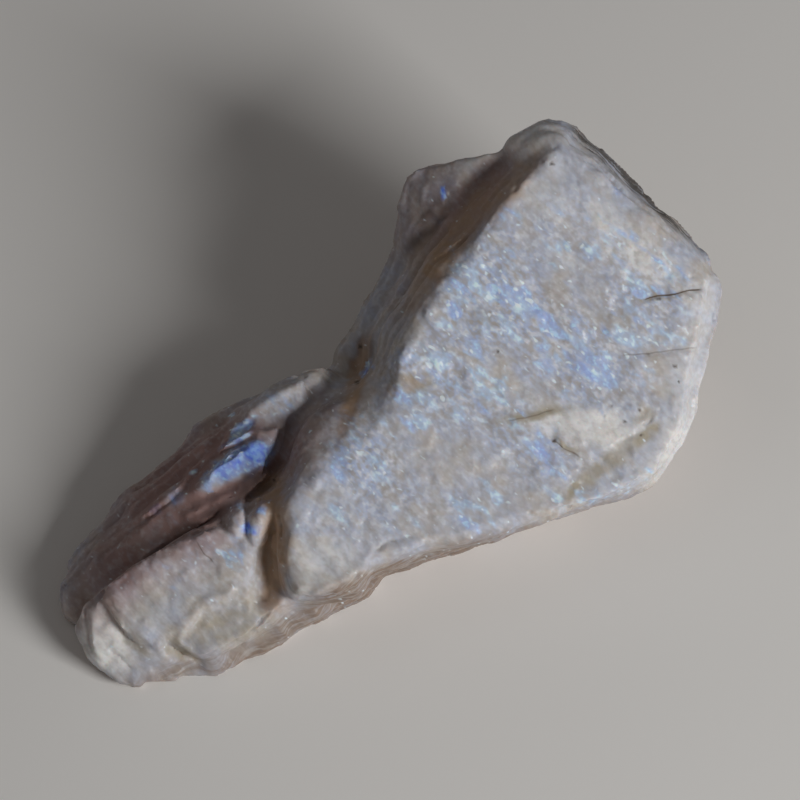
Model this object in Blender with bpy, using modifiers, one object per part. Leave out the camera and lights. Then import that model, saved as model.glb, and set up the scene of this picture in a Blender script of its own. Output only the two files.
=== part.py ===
"""A rough chunk of moonstone (a milky feldspar), lying at rest on a level surface.

The stone is one solid. It is built up from cleavage blocks: each block is the convex hull of its corners, as
feldspar breaks along flat planes. The blocks are joined, ledges and creases are worked into the broken faces,
the surface is given its low relief, and the underside is cut flat where the stone rests.

Sizes are in millimetres until the mesh is scaled to metres at the end. +X runs along the stone to its thick
end, +Y across it, +Z up, with the origin on the resting surface below the middle of the stone.
"""

import math

import bmesh
import bpy
from mathutils import Matrix, Vector, noise

MM = 0.001
STONE_NAME = "moonstone_chunk"

# The broad face's own frame: x and y lie in the face, w points out of it. The face leans back when the stone
# rests, and is turned so that the stone's length runs along X.
FACE_LEAN = math.radians(30.0)
FACE_TURN = math.radians(-28.3)
FACE_HEIGHT = 15.5

FACE_TO_REST = (
    Matrix.Translation((0.0, 0.0, FACE_HEIGHT))
    @ Matrix.Rotation(FACE_TURN, 4, "Z")
    @ Matrix.Rotation(FACE_LEAN, 4, "X")
)
REST_TO_FACE = FACE_TO_REST.inverted()
REST_TO_FACE_TURN = REST_TO_FACE.to_3x3()
FACE_OUTWARD = FACE_TO_REST.to_3x3() @ Vector((0.0, 0.0, 1.0))

# The grain of the surface, and the triangles that it is thinned to.
GRAIN = 0.5
WEAR_PASSES = 2
MOST_TRIANGLES = 9000
SHARP_ANGLE = math.radians(35.0)

# Low relief: swells, lumps, terraces drawn out along the streaks of the broad face, and the edges of the
# cleavage layers on the sides. Heights, then the lengths over which they vary.
STREAK_ANGLE = math.radians(-41.0)
STREAK = Vector((math.cos(STREAK_ANGLE), math.sin(STREAK_ANGLE), 0.0))
ACROSS_STREAK = Vector((-math.sin(STREAK_ANGLE), math.cos(STREAK_ANGLE), 0.0))
SWELL, SWELL_LENGTH = 0.5, 9.0
LUMP, LUMP_LENGTH = 0.35, 2.8
TERRACE, TERRACE_STEP, TERRACE_LENGTH, TERRACE_WIDTH = 0.6, 0.25, 8.0, 2.5
LAYER, LAYER_STEP, LAYER_LENGTH, LAYER_HEIGHT = 0.6, 0.25, 9.0, 1.0
STEP_RAMP = 0.25

# How steeply a ledge drops, and how far its height tapers towards the ends of its line.
LEDGE_DROP = 0.5
END_TAPER = 1.5

# The cleavage blocks. The first corners of each are (x, y, w) in the broad face's frame; the second are
# (x, y, z) in the resting frame, for the underside, and reach below the resting surface.
BLOCKS = {
    # The thick end: the broad face with its crest on the left and its bevelled right end.
    "head": (
        [
            (15.5, 25.7, -1.8), (20.0, 23.2, -2.8), (25.2, 18.6, -3.7), (31.0, 12.7, -4.4),
            (31.8, 10.8, -4.6), (30.0, 5.0, -4.2), (29.0, 0.5, -4.3), (27.6, -4.0, -4.1),
            (24.4, -7.4, -3.5), (19.5, -9.6, -2.4), (16.8, 19.0, -1.7), (19.5, 14.5, -1.9),
            (22.5, 9.0, -2.0), (23.0, 5.0, -1.9), (24.2, 0.0, -1.9), (23.5, -4.0, -1.8),
            (16.0, -11.4, -0.8), (0.0, -12.0, 2.2), (1.5, 2.0, 1.8), (-0.4, 4.5, 1.5), (0.4, 6.2, 1.4),
            (3.9, 10.0, 0.9), (6.6, 14.2, 0.3), (10.2, 18.6, -0.5), (33.0, 11.3, -6.0), (32.5, 9.4, -6.2),
            (30.8, 4.0, -6.8), (28.8, -4.5, -6.6), (25.6, -8.6, -6.0), (16.0, -12.2, -4.5),
            (8.0, -13.4, -4.0), (6.5, 21.5, -7.0), (4.0, 18.0, -7.0), (0.0, 12.0, -6.5), (-3.5, 6.5, -6.0),
            (18.9, 26.8, -7.4), (24.6, 21.2, -7.4),
        ],
        [
            (23.0, -6.5, -1.5), (23.5, 2.0, -1.5), (28.5, 1.0, 3.5), (16.0, 9.0, -1.5), (23.0, 12.0, 5.0),
            (8.0, 13.0, 4.0), (19.0, -10.5, 0.8), (6.0, -10.0, -1.5), (-4.0, 7.0, -1.5),
        ],
    ),
    # The long body that carries the broad face down to the rounded thumb.
    "body": (
        [
            (3.5, 1.5, 1.4), (12.0, -4.0, 0.1), (16.0, -11.3, -0.7), (0.0, -15.3, 2.3), (-2.5, -15.8, 2.7),
            (-8.0, -17.9, 3.5), (-10.7, -18.8, 3.5), (-11.9, -16.0, 4.1), (-11.9, -11.5, 3.9),
            (-10.3, -8.6, 3.3), (-8.0, -6.5, 2.9), (-4.6, -4.2, 2.3), (-3.2, -1.0, 1.9),
            (-12.3, -19.4, 0.5), (2.0, -16.2, -1.0), (-13.4, -8.5, -2.5), (-11.4, -4.0, -4.0),
            (-7.5, 1.5, -4.5),
        ],
        [
            (12.0, -10.5, -1.5), (-14.0, -7.5, -1.5), (-16.0, 0.0, -1.5), (0.0, 9.0, -1.5),
            (10.0, 9.0, -1.5), (14.0, -11.6, 1.0), (-4.0, -9.6, 0.8),
        ],
    ),
    # The bottom of the thumb, proud of the layered side.
    "thumb": (
        [
            (-10.7, -19.8, 3.4), (-6.5, -18.8, 3.5), (-5.0, -18.0, 3.3), (-3.8, -16.9, 3.0),
            (-2.5, -15.8, 2.7), (-6.0, -14.0, 3.2), (-11.4, -15.0, 3.9), (-4.4, -19.9, -0.8),
            (-3.6, -18.6, -0.8), (-12.0, -21.0, -0.8), (-8.0, -12.0, -3.0),
        ],
        [],
    ),
    # The easier slope between the body's crest and the valley behind it.
    "shoulder": (
        [
            (-4.8, -4.4, 2.3), (-5.5, -5.8, 2.7), (-9.6, -7.0, 2.5), (-10.8, -5.6, 1.3),
            (-10.0, -2.8, 0.4), (-8.0, -0.8, 0.2), (-5.6, 0.2, 0.2), (-4.6, -1.6, 1.3),
            (-11.3, -6.0, -3.5), (-10.4, -2.0, -4.0), (-6.0, 0.8, -4.0), (-6.0, -7.0, -2.0),
        ],
        [],
    ),
    "hollow": (
        [
            (0.5, 2.6, 1.3), (-1.0, 2.4, 0.9), (-3.4, 2.6, -0.6), (-4.2, 0.6, -0.4), (-3.8, -0.8, 1.0),
            (-2.0, -1.0, 1.7), (1.0, 0.0, 1.6), (-4.5, 1.0, -4.0), (-3.0, 4.0, -4.0), (1.0, 2.0, -3.0),
        ],
        [],
    ),
    # A low plate on the broad face, proud at its upper left and dipping to the lower right.
    "plate": (
        [
            (12.2, -2.4, 0.45), (16.2, -0.8, 0.0), (21.0, 1.0, -0.8), (24.2, 0.8, -1.3),
            (25.4, -2.0, -1.7), (18.0, -5.8, -0.5), (15.4, -4.0, 0.15), (14.0, -3.0, -3.0),
            (24.0, 0.0, -4.0), (18.0, -5.0, -4.0),
        ],
        [],
    ),
    # The rounded crown above the broad face's top corner.
    "crown": (
        [
            (10.2, 25.8, -4.8), (11.3, 24.7, -3.8), (12.2, 23.2, -2.8), (13.5, 21.5, -1.8),
            (15.8, 25.9, -1.9), (10.6, 26.9, -6.4), (12.3, 28.0, -6.4), (14.5, 28.8, -6.6),
            (16.8, 28.5, -6.8), (18.6, 27.6, -7.0), (13.5, 27.6, -4.2), (11.0, 24.0, -9.5),
            (18.0, 25.0, -10.0), (20.0, 20.0, -9.0),
        ],
        [],
    ),
    # A thin shelf below the broad face's upper right edge.
    "shelf": (
        [
            (25.0, 20.4, -7.0), (26.8, 19.6, -7.2), (28.2, 18.2, -7.4), (29.4, 17.0, -7.4),
            (30.4, 15.8, -7.2), (31.5, 14.0, -7.0), (26.0, 17.6, -3.9), (30.0, 13.8, -4.1),
            (28.0, 14.0, -9.5), (23.0, 17.0, -9.5),
        ],
        [],
    ),
    # The lower bench behind the crest, and the steep side below it.
    "bench": (
        [
            (10.3, 25.7, -6.2), (6.5, 24.4, -6.8), (2.2, 23.8, -7.6), (0.6, 23.2, -8.0),
            (-0.1, 21.8, -8.2), (0.6, 19.0, -8.2), (1.1, 16.0, -8.0), (0.6, 13.4, -7.6),
            (4.5, 20.5, -6.2), (2.5, 17.0, -6.0), (2.0, 12.0, -6.0), (8.0, 21.0, -6.0),
        ],
        [(20.0, 14.0, 5.0), (12.0, 14.5, 4.0), (5.0, 12.0, 3.5), (2.0, 8.0, 3.0), (20.0, 4.0, 4.0)],
    ),
    "bench_foot": (
        [
            (0.4, 18.0, -10.5), (0.0, 16.4, -10.5), (-0.3, 15.0, -10.5), (-0.8, 12.5, -10.0),
            (-1.5, 11.3, -10.0), (-4.0, 8.4, -9.5), (-5.9, 6.4, -9.0), (-7.2, 4.4, -8.5),
            (3.0, 12.0, -8.0), (3.0, 18.0, -9.0), (-0.6, 12.0, -7.8), (-2.4, 9.8, -7.6),
            (-5.0, 7.0, -7.6), (-2.5, 4.0, -6.0), (1.0, 10.0, -6.0),
        ],
        [(12.0, 12.0, 4.0), (4.5, 11.0, 4.0), (3.0, 6.0, 4.0)],
    ),
    # The low back lobe, which slopes away along the thin end.
    "lobe": (
        [
            (-34.6, -19.2, -4.6), (-34.4, -17.5, -5.2), (-33.0, -15.4, -6.0), (-30.2, -12.0, -7.2),
            (-27.4, -9.0, -7.8), (-24.8, -6.2, -8.2), (-21.4, -2.6, -8.6), (-18.0, -1.0, -8.6),
            (-15.5, -0.2, -6.0), (-13.0, 1.0, -4.6), (-10.4, 1.7, -3.6), (-7.6, 3.6, -5.0),
            (-33.6, -22.0, -3.6), (-32.0, -19.5, -1.8), (-28.5, -16.5, -1.2), (-23.0, -10.8, -1.4),
            (-20.0, -8.6, -1.4), (-17.0, -7.0, -1.2), (-13.4, -5.2, -1.2), (-14.6, -2.6, -3.0),
            (-11.0, -1.2, -2.0), (-16.0, -11.5, -0.8), (-32.2, -21.6, -5.6),
            (-31.0, -23.0, -5.0),
        ],
        [
            (-26.0, 3.0, -1.5), (-20.0, 7.0, -1.5), (-6.0, 9.0, -1.5), (2.0, 11.0, 3.0),
            (-27.0, -2.0, -1.5), (-14.0, -4.0, -1.5), (4.0, 2.0, -1.5), (4.0, 9.5, -1.5),
        ],
    ),
    # The tongue: the pale lower block in front of the lobe.
    "tongue": (
        [
            (-29.6, -19.3, 2.0), (-26.0, -16.6, 2.3), (-22.0, -14.2, 2.5), (-18.8, -12.2, 2.5),
            (-15.6, -15.0, 2.2), (-12.6, -15.0, 1.2), (-11.8, -19.8, 1.0), (-15.0, -23.5, 0.7),
            (-20.0, -25.8, 0.8),
            (-20.5, -20.8, 2.6), (-24.5, -24.4, 1.7), (-27.5, -23.4, 1.8), (-29.0, -21.2, 1.9),
            (-11.0, -21.5, -1.0), (-15.0, -24.7, -2.0), (-22.0, -27.5, -2.5), (-25.0, -27.0, -2.0),
            (-29.0, -24.0, -2.0), (-31.0, -20.0, -1.0), (-19.0, -11.6, 0.0),
        ],
        [(-25.0, -3.0, -1.5), (-14.0, -8.0, -1.5), (-14.0, 0.0, -1.5), (-26.0, 1.0, -1.5)],
    ),
    # Two lumps in the corner between the tongue and the thumb.
    "lump_left": (
        [
            (-18.2, -12.6, 1.8), (-17.6, -10.8, 0.6), (-15.8, -10.0, 0.4), (-15.6, -13.0, 1.8),
            (-16.2, -14.8, 2.2), (-17.4, -14.6, 2.3), (-18.5, -10.8, -2.5), (-15.0, -9.8, -2.5),
            (-15.0, -16.0, -2.0),
        ],
        [],
    ),
    "lump_right": (
        [
            (-15.5, -12.2, 1.9), (-14.6, -10.6, 1.6), (-13.4, -9.8, 1.8), (-13.4, -12.5, 2.5),
            (-14.6, -14.8, 2.6), (-14.4, -16.0, 2.3), (-13.0, -16.0, 1.2), (-12.4, -9.5, -2.5),
            (-16.0, -10.0, -2.5), (-15.5, -16.0, -2.0),
        ],
        [],
    ),
    # Rims: the lower steps round the tongue's end.
    "rim_upper": (
        [
            (-31.9, -20.4, 1.0), (-30.8, -19.7, 1.4), (-29.6, -19.2, 1.6), (-31.3, -22.2, 0.9),
            (-30.2, -24.6, 0.7), (-28.0, -26.4, 0.6), (-25.5, -27.0, 0.5), (-22.5, -26.4, 0.5),
            (-25.0, -23.0, 1.4), (-28.0, -22.0, 1.5), (-32.3, -21.2, -1.5), (-30.4, -25.2, -1.8),
            (-27.6, -27.6, -2.2), (-20.0, -26.5, -2.0),
        ],
        [(-26.0, -3.0, -1.5), (-20.0, -6.0, -1.5)],
    ),
    "rim_lower": (
        [
            (-33.0, -22.6, -1.2), (-32.2, -24.6, -1.2), (-30.8, -26.2, -1.2), (-28.8, -28.4, -1.4),
            (-26.3, -29.7, -1.6), (-21.4, -29.6, -1.8), (-17.2, -27.8, -2.0), (-14.0, -25.8, -2.8),
            (-10.8, -23.4, -3.2), (-5.5, -21.0, -3.0), (-3.7, -20.2, -2.8), (-3.2, -18.7, -2.8),
            (-2.0, -17.4, -3.0), (-18.0, -22.0, 0.6), (-31.6, -21.6, 0.2), (-30.0, -25.0, 0.1),
        ],
        [(-27.0, -4.0, -1.5), (-29.0, 0.0, 0.5), (-20.0, -8.0, -1.5), (-6.0, -8.0, -1.5)],
    ),
}

# Ledges of the broken faces: height, how far back the raised side fades, and the line of the edge as (x, y)
# in the broad face's frame. The raised side lies on the left of the line.
LEDGES = {
    "left_lip": (0.5, 4.0, [(1.6, 7.0), (-0.8, 4.6), (-1.0, 3.7), (-0.5, 2.8), (2.5, 2.9), (5.5, 4.6)]),
    "bench_rim": (0.7, 4.0, [(0.3, 14.0), (1.6, 16.8), (4.2, 18.8), (4.6, 20.5), (6.6, 22.6), (10.4, 26.0)]),
    "lobe_flash": (0.5, 3.0, [(-21.5, -9.4), (-18.4, -8.2), (-16.4, -7.3), (-13.4, -5.9)]),
}

# Creases: depth, half-width and line, as (x, y) in the broad face's frame.
CREASES = {
    "plate_crack": (0.4, 0.6, [(24.3, 10.0), (26.5, 10.3), (29.0, 10.8), (31.0, 11.4)]),
    "below_lip": (0.5, 1.7, [(-1.4, 1.2), (0.8, 1.8), (2.6, 2.0)]),
    "trough": (0.9, 1.8, [(16.8, -9.6), (18.6, -7.4), (22.0, -5.2), (26.2, -2.2)]),
    "valley": (1.4, 1.5, [(-9.6, 1.4), (-10.4, -1.4), (-11.3, -4.2), (-12.2, -6.8), (-15.6, -9.6)]),
    "wall": (0.6, 0.9, [(-3.8, 6.4), (-3.5, 4.0), (-3.9, 1.9), (-4.7, 0.0), (-5.6, -2.0), (-5.3, -3.4)]),
    "beside_lumps": (0.15, 0.9, [(-18.8, -12.0), (-18.1, -14.2), (-16.4, -15.8), (-13.4, -20.8)]),
    "between_lumps": (0.6, 0.7, [(-15.9, -9.8), (-16.0, -12.2), (-15.4, -14.6)]),
    "tongue_end": (
        0.7, 0.7, [(-29.4, -19.0), (-28.8, -21.2), (-28.0, -23.0), (-26.4, -24.2), (-22.4, -23.4)]
    ),
    "rim_end": (0.5, 0.6, [(-29.8, -24.2), (-28.2, -26.2), (-26.0, -28.2)]),
    "beside_thumb": (0.4, 0.9, [(-12.9, -9.6), (-13.0, -13.0), (-13.1, -17.0), (-12.2, -20.6)]),
    "recess": (0.9, 0.7, [(-23.8, -24.2), (-22.0, -25.6), (-19.6, -26.6)]),
}


def clear_scene():
    for obj in list(bpy.data.objects):
        bpy.data.objects.remove(obj)


def new_collection(name):
    collection = bpy.data.collections.new(name)
    bpy.context.scene.collection.children.link(collection)
    return collection


def hull_block(name, face_corners, rest_corners, collection):
    """A convex block through its corners."""
    corners = [FACE_TO_REST @ Vector(corner) for corner in face_corners]
    corners += [Vector(corner) for corner in rest_corners]
    shape = bmesh.new()
    for corner in corners:
        shape.verts.new(corner)
    bmesh.ops.convex_hull(shape, input=shape.verts)
    inside = [vertex for vertex in shape.verts if not vertex.link_faces]
    bmesh.ops.delete(shape, geom=inside, context="VERTS")
    bmesh.ops.recalc_face_normals(shape, faces=shape.faces)
    mesh = bpy.data.meshes.new(name)
    shape.to_mesh(mesh)
    shape.free()
    block = bpy.data.objects.new(name, mesh)
    collection.objects.link(block)
    return block


def apply_modifiers(obj):
    graph = bpy.context.evaluated_depsgraph_get()
    obj.data = bpy.data.meshes.new_from_object(obj.evaluated_get(graph))
    obj.modifiers.clear()


def join_blocks(stone, blocks):
    """Unites the blocks in one closed surface."""
    for block in blocks:
        union = stone.modifiers.new("join " + block.name, "BOOLEAN")
        union.operation = "UNION"
        union.solver = "EXACT"
        union.object = block
    apply_modifiers(stone)


def soften(stone):
    """Gives the surface an even grain and takes the knife edge off its creases."""
    grain = stone.modifiers.new("even grain", "REMESH")
    grain.mode = "VOXEL"
    grain.voxel_size = GRAIN
    wear = stone.modifiers.new("worn edges", "SMOOTH")
    wear.factor = 0.5
    wear.iterations = WEAR_PASSES
    apply_modifiers(stone)


def shell_of(vertex):
    """The vertices that hang together with this one."""
    shell = {vertex}
    waiting = [vertex]
    while waiting:
        for edge in waiting.pop().link_edges:
            for neighbour in edge.verts:
                if neighbour not in shell:
                    shell.add(neighbour)
                    waiting.append(neighbour)
    return shell


def keep_outer_shell(stone):
    """Drops the small pockets that are left closed in between the blocks."""
    shape = bmesh.new()
    shape.from_mesh(stone.data)
    shape.verts.ensure_lookup_table()
    highest = max(shape.verts, key=lambda vertex: vertex.co.z)
    outer = shell_of(highest)
    pockets = [vertex for vertex in shape.verts if vertex not in outer]
    bmesh.ops.delete(shape, geom=pockets, context="VERTS")
    shape.to_mesh(stone.data)
    shape.free()


def ramp(value):
    """0 below 0, 1 above 1 and a smooth rise between them."""
    value = min(1.0, max(0.0, value))
    return value * value * (3.0 - 2.0 * value)


def stepped(value, height):
    """The value as a flight of steps with short ramps between them."""
    level = math.floor(value / height)
    rise = value / height - level
    return height * (level + ramp((rise - 0.5) / STEP_RAMP + 0.5))


def nearest_on_line(point, line):
    """Signed distance from a line, positive on its left, and the distance to its nearer end along it."""
    best = None
    travelled = 0.0
    for start, end in zip(line, line[1:]):
        run = Vector(end) - Vector(start)
        length = run.length
        along = max(0.0, min(length, (point - Vector(start)).dot(run) / length))
        offset = point - Vector(start) - run * (along / length)
        side = 1.0 if run.x * offset.y - run.y * offset.x > 0.0 else -1.0
        if best is None or offset.length < abs(best[0]):
            best = (side * offset.length, travelled + along)
        travelled += length
    distance, place = best
    return distance, min(place, travelled - place)


def near(point, line, reach):
    """Whether a point is inside the line's box, widened by the reach."""
    across, up = zip(*line)
    return (
        min(across) - reach < point.x < max(across) + reach
        and min(up) - reach < point.y < max(up) + reach
    )


def ledge_height(point, height, fade, line):
    if not near(point, line, fade):
        return 0.0
    distance, from_end = nearest_on_line(point, line)
    if distance > fade:
        return 0.0
    drop = ramp(distance / LEDGE_DROP + 0.5)
    return height * drop * (1.0 - ramp(distance / fade)) * ramp(from_end / END_TAPER)


def crease_depth(point, depth, half_width, line):
    if not near(point, line, half_width):
        return 0.0
    distance, from_end = nearest_on_line(point, line)
    return depth * (1.0 - ramp(abs(distance) / half_width)) * ramp(0.3 + from_end / END_TAPER)


def break_relief(point):
    """The ledges and creases at a point of the upper side, in mm along the broad face's outward direction."""
    place = point.to_2d()
    raised = sum(ledge_height(place, *ledge) for ledge in LEDGES.values())
    sunk = sum(crease_depth(place, *crease) for crease in CREASES.values())
    return raised - sunk


def cleavage_relief(point, on_face):
    """The low relief at a point, in mm along the surface's own outward direction."""
    along = point.dot(STREAK)
    across = point.dot(ACROSS_STREAK)
    swell = SWELL * noise.noise(point / SWELL_LENGTH)
    lump = LUMP * noise.noise(point / LUMP_LENGTH + Vector((7.3, 2.1, 4.4)))
    terrace_place = Vector((along / TERRACE_LENGTH, across / TERRACE_WIDTH, point.z / TERRACE_LENGTH))
    terrace = stepped(TERRACE * noise.noise(terrace_place), TERRACE_STEP)
    layer_place = Vector((along / LAYER_LENGTH, across / LAYER_LENGTH, point.z / LAYER_HEIGHT))
    layer = stepped(LAYER * noise.noise(layer_place + Vector((3.7, 9.2, 0.0))), LAYER_STEP)
    return swell + lump + on_face * terrace + (1.0 - on_face) * layer


def weather(stone):
    """Works the ledges, the creases and the low relief into the surface."""
    mesh = stone.data
    moves = []
    for vertex in mesh.vertices:
        point = REST_TO_FACE @ vertex.co
        outward = (REST_TO_FACE_TURN @ vertex.normal).z
        move = vertex.normal * cleavage_relief(point, outward * outward)
        upper_side = ramp(outward / 0.4)
        if upper_side > 0.0:
            move += FACE_OUTWARD * (upper_side * break_relief(point))
        moves.append(move)
    for vertex, move in zip(mesh.vertices, moves):
        vertex.co += move
    mesh.update()


def thin_out(stone):
    """Keeps the triangles that the form needs."""
    stone.data.calc_loop_triangles()
    thinning = stone.modifiers.new("fewer faces", "DECIMATE")
    thinning.use_collapse_triangulate = True
    thinning.ratio = MOST_TRIANGLES / len(stone.data.loop_triangles)
    apply_modifiers(stone)


def cut_resting_face(stone):
    """Cuts the underside flat where the stone rests."""
    shape = bmesh.new()
    shape.from_mesh(stone.data)
    everything = shape.verts[:] + shape.edges[:] + shape.faces[:]
    cut = bmesh.ops.bisect_plane(
        shape,
        geom=everything,
        dist=1e-4,
        plane_co=(0.0, 0.0, 0.0),
        plane_no=(0.0, 0.0, -1.0),
        clear_outer=True,
    )
    rim = [item for item in cut["geom_cut"] if isinstance(item, bmesh.types.BMEdge)]
    bmesh.ops.holes_fill(shape, edges=rim)
    bmesh.ops.triangulate(shape, faces=shape.faces)
    bmesh.ops.recalc_face_normals(shape, faces=shape.faces)
    shape.to_mesh(stone.data)
    shape.free()


def centre(stone):
    """Puts the origin on the resting surface below the middle of the stone."""
    spans = [(min(axis), max(axis)) for axis in zip(*(vertex.co for vertex in stone.data.vertices))]
    middle = [(low + high) / 2.0 for low, high in spans]
    stone.data.transform(Matrix.Translation((-middle[0], -middle[1], 0.0)))


def milky_feldspar():
    material = bpy.data.materials.new("milky feldspar")
    material.use_nodes = True
    surface = material.node_tree.nodes["Principled BSDF"]
    surface.inputs["Base Color"].default_value = (0.60, 0.57, 0.56, 1.0)
    surface.inputs["Roughness"].default_value = 0.45
    surface.inputs["Metallic"].default_value = 0.0
    return material


def main():
    clear_scene()
    stone_collection = new_collection("moonstone chunk")
    helpers = new_collection("blocks")
    blocks = [hull_block(name, *corners, helpers) for name, corners in BLOCKS.items()]
    stone = bpy.data.objects.new(STONE_NAME, blocks[0].data.copy())
    stone_collection.objects.link(stone)
    join_blocks(stone, blocks[1:])
    for block in blocks:
        bpy.data.objects.remove(block)
    soften(stone)
    keep_outer_shell(stone)
    weather(stone)
    thin_out(stone)
    cut_resting_face(stone)
    centre(stone)
    stone.data.transform(Matrix.Scale(MM, 4))
    stone.data.materials.append(milky_feldspar())
    stone.data.shade_smooth()
    stone.data.set_sharp_from_angle(angle=SHARP_ANGLE)


if __name__ == "__main__":
    main()
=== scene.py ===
"""The rough moonstone chunk as it looks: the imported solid's surface worked finer, in milky feldspar.

The stone is worked out in millimetres in the broad face's own frame: x and y lie in the face, and heights are
measured out of it. Only the finished mesh is put into the row's frame, in metres.
"""

import itertools
import math

import bmesh
import bpy
import numpy as np
from mathutils import Matrix, Vector


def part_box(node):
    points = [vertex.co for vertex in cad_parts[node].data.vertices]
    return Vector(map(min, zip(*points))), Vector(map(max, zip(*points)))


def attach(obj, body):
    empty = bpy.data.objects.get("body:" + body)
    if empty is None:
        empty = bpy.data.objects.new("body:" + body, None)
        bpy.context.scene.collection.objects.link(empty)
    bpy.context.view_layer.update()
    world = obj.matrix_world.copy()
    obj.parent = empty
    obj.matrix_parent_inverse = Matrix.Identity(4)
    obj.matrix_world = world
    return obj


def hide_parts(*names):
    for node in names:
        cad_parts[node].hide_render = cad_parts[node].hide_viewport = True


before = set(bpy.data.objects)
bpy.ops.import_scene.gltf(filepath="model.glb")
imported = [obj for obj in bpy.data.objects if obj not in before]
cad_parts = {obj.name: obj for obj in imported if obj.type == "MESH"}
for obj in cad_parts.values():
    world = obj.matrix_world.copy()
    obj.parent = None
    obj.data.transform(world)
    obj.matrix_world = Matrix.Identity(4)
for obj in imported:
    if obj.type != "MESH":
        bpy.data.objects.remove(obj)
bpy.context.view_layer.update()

MM = 0.001
STONE = "moonstone_chunk"

# How the broad face's frame lies in the row's frame.
FACE_LEAN = math.radians(30.0)
FACE_TURN = math.radians(-28.3)
FACE_HEIGHT = 15.5
MIDDLE_X, MIDDLE_Y = -1.396, 1.976
FACE_TO_ROW = (
    Matrix.Scale(MM, 4)
    @ Matrix.Translation((-MIDDLE_X, -MIDDLE_Y, FACE_HEIGHT))
    @ Matrix.Rotation(FACE_TURN, 4, "Z")
    @ Matrix.Rotation(FACE_LEAN, 4, "X")
)

# The directions, in the face, of the streaks of the broad face and of the scales of the back lobe.
STREAK_ANGLE = math.radians(-41.0)
LOBE_ANGLE = math.radians(33.0)

# The worked mesh: its spacing, what is cut off its underside, the angle that stays a sharp edge, and the
# distance in metres under which its points are one.
GRAIN = 0.295
BASE_CUT = 0.04
SHARP_ANGLE = math.radians(50.0)
MERGE_DISTANCE = 1e-7

# Random numbers: how cells, seeds and bits are mixed, the gain that brings noise to about -1 to 1, how far a
# flake's middle strays from its cell's, and the seed of each noise.
CELL_MIXERS = (73856093, 19349663, 83492791)
SEED_MIXER = 2654435761
BIT_MIXERS = ((16, 2246822519), (13, 3266489917))
LAST_SHIFT = 16
SEED_STEP = 16
NOISE_GAIN = 1.4
FLAKE_SHIFT = 0.45
SEEDS = {
    "ripples": 33, "chips": 35, "wander": 41, "ridges": 51, "ragged": 61,
    "clouds": 71, "rows": 73, "mottle": 74,
}

# How far the surface must face out of the broad face's plane for each kind of work: where it starts to count,
# and the rise over which it comes to count in full.
UP_FOR_FACETS = (0.35, 0.3)
UP_FOR_FEATURES = (0.0, 0.35)
UP_FOR_FLAKES = (0.55, 0.3)
UP_FOR_ZONES = (-0.06, 0.3)
UP_FOR_SHADED_SIDES = (-0.05, 0.35)

# An oval zone is full up to half its size, and has faded out at one and a half times its size.
ZONE_REACH = 1.5

# The broad face is a plane: its height at the frame's origin and its slopes along x and y.
FACE_LEVEL, FACE_SLOPE_X, FACE_SLOPE_Y = 1.95, -0.15, -0.05

# The strip beyond the broad face's upper right edge falls away from this line, with fine ridges along it.
STRIP_EDGE = [
    (16.6, 28.6), (16.4, 26.4), (17.5, 25.2), (20, 23.5), (22, 21.5), (25, 19.5), (28, 16), (31.4, 12.8),
]
STRIP_SLOPE = 2.6
RIDGE_HEIGHT, RIDGE_SPACING = 0.06, 0.62
RIDGE_WANDER, RIDGE_WANDER_LENGTH = 1.5, 4.0

# How often places are averaged with their neighbours: all of them at first, then those in each kind of zone.
FIRST_PASSES, SOFT_PASSES, EASED_PASSES, WORN_PASSES = 6, 80, 28, 16

# Places where one part of the stone runs softly into the next: centre, half-length, half-width, angle in
# degrees and strength.
SOFT_ZONES = [
    (-5, -1, 6, 3.4, 55, 1), (-2, 4, 4, 3, 50, 1), (1, 3.6, 1.6, 1.6, 0, 0.8), (-9.5, -5, 5, 2.2, 50, 0.8),
    (4, 12, 8, 1.4, 58, 0.4), (-28, -24.6, 3.2, 2, -40, 0.5), (-14.8, -13, 3.6, 3, 75, 1),
]

# The same for the ledges and lumps that are added.
EASED_ZONES = [
    (-15.4, -13, 3.4, 2, 75, 0.15), (-11.4, -14.4, 6.4, 1.6, 88, 1), (-11.4, -8.8, 2.6, 1.6, 50, 0.8),
    (6, 14.5, 11, 1, 57, 0.9), (-5, -1.6, 7, 2.4, 56, 1), (-6.2, -0.6, 3.4, 1.6, 25, 1),
    (-23.6, -11.2, 4, 1.2, 35, 0.8),
]

# The same for places where the broken grain is worn away.
WORN_ZONES = [
    (-6.2, -0.6, 4.2, 2, 25, 1), (10.4, 26, 5, 2.6, 30, 1), (-13, -0.6, 3, 1.6, 25, 0.6),
]

# Rounded lumps: height, then centre, half-length, half-width and angle.
LUMPS = {
    "left lump": (1.0, (-16.3, -11.9, 1.5, 0.9, 75)),
    "right lump": (0.9, (-13.9, -12, 2.1, 1, 70)),
    "low bulge": (0.6, (-2.4, 8, 2.6, 1.7, 60)),
    "wall bump": (0.2, (4, 14.6, 1.6, 1, 60)),
    "crown bump": (0.3, (8.6, 24.4, 1.6, 1.2, 40)),
}

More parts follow.
